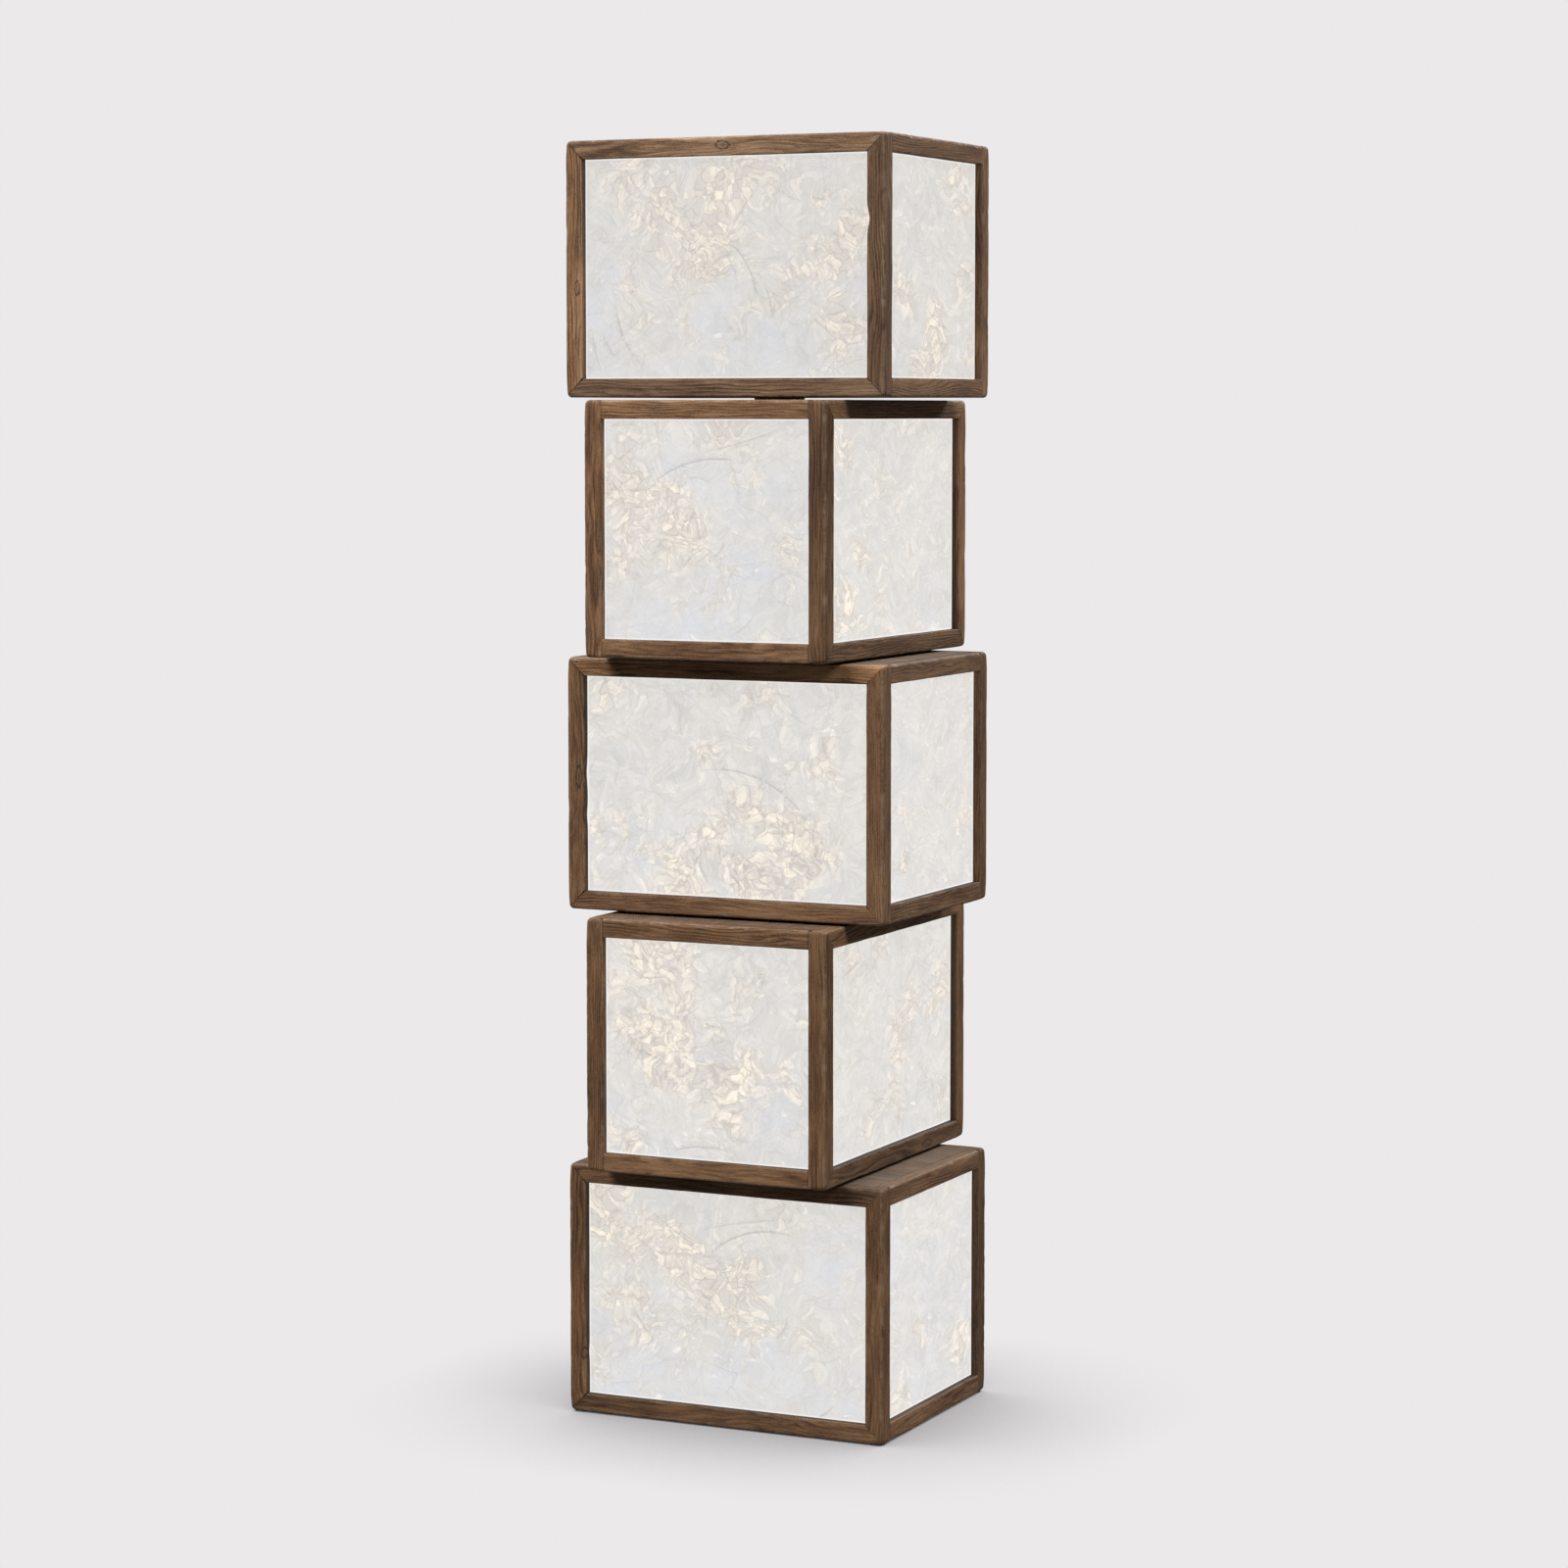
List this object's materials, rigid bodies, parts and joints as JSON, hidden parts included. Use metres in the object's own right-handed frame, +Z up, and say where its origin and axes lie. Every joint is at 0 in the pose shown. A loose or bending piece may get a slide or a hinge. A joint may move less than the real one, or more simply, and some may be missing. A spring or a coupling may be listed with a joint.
{
  "type": "andon floor lamp",
  "caption": "Floor lamp of stacked wooden box frames with crinkled paper panels, each turned a quarter turn on a central pole, with a rear access door in every box.",
  "frame": {"origin": "centre of the footprint at the underside of the floor pads", "axes": "+Z up along the pole; X along the long side of the lowest, middle and highest box; -Y is the side of their front long faces"},
  "size_m": [0.41, 0.41, 1.5135],
  "materials": {
    "reclaimed_wood": "weathered, waxed",
    "board_wood": "open grain, waxed",
    "washi_paper": "crinkled fibre paper laminated on a stiff sheet",
    "black_plastic": "satin",
    "frosted_plastic": "frosted",
    "white_plastic": "satin",
    "pole_steel": "black powder coat",
    "plate_steel": "black powder coat",
    "nut_steel": "zinc",
    "washer_steel": "dull zinc",
    "felt": "pressed felt",
    "flex_sheath": "smooth sheath"
  },
  "bodies": {
    "root": {"centre_pole": "pole_steel", "base_plate": "plate_steel", "pole_nuts": "nut_steel", "spacer_washers": "washer_steel", "floor_pads": "felt", "lamp_arms": "pole_steel", "lamp_leads": "flex_sheath", "riser_flex": "flex_sheath", "terminal_block": "white_plastic", "cord_gland": "black_plastic", "box1_lampholder": "black_plastic", "box1_bulb": "frosted_plastic", "box1_posts": "reclaimed_wood", "box1_long_rails": "reclaimed_wood", "box1_short_rails": "reclaimed_wood", "box1_fixed_papers": "washi_paper", "box1_top_board": "board_wood", "box1_bottom_board": "board_wood", "box2_lampholder": "black_plastic", "box2_bulb": "frosted_plastic", "box3_lampholder": "black_plastic", "box3_bulb": "frosted_plastic", "box4_lampholder": "black_plastic", "box4_bulb": "frosted_plastic", "box5_lampholder": "black_plastic", "box5_bulb": "frosted_plastic"},
    "box1_door": {"box1_door_sash": "reclaimed_wood", "box1_door_paper": "washi_paper"},
    "box2": {"box2_posts": "reclaimed_wood", "box2_long_rails": "reclaimed_wood", "box2_short_rails": "reclaimed_wood", "box2_fixed_papers": "washi_paper", "box2_top_board": "board_wood", "box2_bottom_board": "board_wood"},
    "box2_door": {"box2_door_sash": "reclaimed_wood", "box2_door_paper": "washi_paper"},
    "box3": {"box3_posts": "reclaimed_wood", "box3_long_rails": "reclaimed_wood", "box3_short_rails": "reclaimed_wood", "box3_fixed_papers": "washi_paper", "box3_top_board": "board_wood", "box3_bottom_board": "board_wood"},
    "box3_door": {"box3_door_sash": "reclaimed_wood", "box3_door_paper": "washi_paper"},
    "box4": {"box4_posts": "reclaimed_wood", "box4_long_rails": "reclaimed_wood", "box4_short_rails": "reclaimed_wood", "box4_fixed_papers": "washi_paper", "box4_top_board": "board_wood", "box4_bottom_board": "board_wood"},
    "box4_door": {"box4_door_sash": "reclaimed_wood", "box4_door_paper": "washi_paper"},
    "box5": {"box5_posts": "reclaimed_wood", "box5_long_rails": "reclaimed_wood", "box5_short_rails": "reclaimed_wood", "box5_fixed_papers": "washi_paper", "box5_top_board": "board_wood", "box5_bottom_board": "board_wood"},
    "box5_door": {"box5_door_sash": "reclaimed_wood", "box5_door_paper": "washi_paper"}
  },
  "joints": [
    {"name": "box1_door_hinge", "type": "hinge", "parent": "root", "child": "box1_door", "pos_m": [-0.181, 0.1465, 0.1515], "axis": [0, 0, 1], "range_deg": [0, 95]},
    {"name": "box2_swivel", "type": "hinge", "parent": "root", "child": "box2", "pos_m": [0, 0, 0.3045], "axis": [0, 0, 1], "continuous": true},
    {"name": "box2_door_hinge", "type": "hinge", "parent": "box2", "child": "box2_door", "pos_m": [-0.1465, -0.181, 0.4545], "axis": [0, 0, 1], "range_deg": [0, 95]},
    {"name": "box3_swivel", "type": "hinge", "parent": "root", "child": "box3", "pos_m": [0, 0, 0.6075], "axis": [0, 0, 1], "continuous": true},
    {"name": "box3_door_hinge", "type": "hinge", "parent": "box3", "child": "box3_door", "pos_m": [-0.181, 0.1465, 0.7575], "axis": [0, 0, 1], "range_deg": [0, 95]},
    {"name": "box4_swivel", "type": "hinge", "parent": "root", "child": "box4", "pos_m": [0, 0, 0.9105], "axis": [0, 0, 1], "continuous": true},
    {"name": "box4_door_hinge", "type": "hinge", "parent": "box4", "child": "box4_door", "pos_m": [-0.1465, -0.181, 1.0605], "axis": [0, 0, 1], "range_deg": [0, 95]},
    {"name": "box5_swivel", "type": "hinge", "parent": "root", "child": "box5", "pos_m": [0, 0, 1.2135], "axis": [0, 0, 1], "continuous": true},
    {"name": "box5_door_hinge", "type": "hinge", "parent": "box5", "child": "box5_door", "pos_m": [-0.181, 0.1465, 1.3635], "axis": [0, 0, 1], "range_deg": [0, 95]}
  ]
}
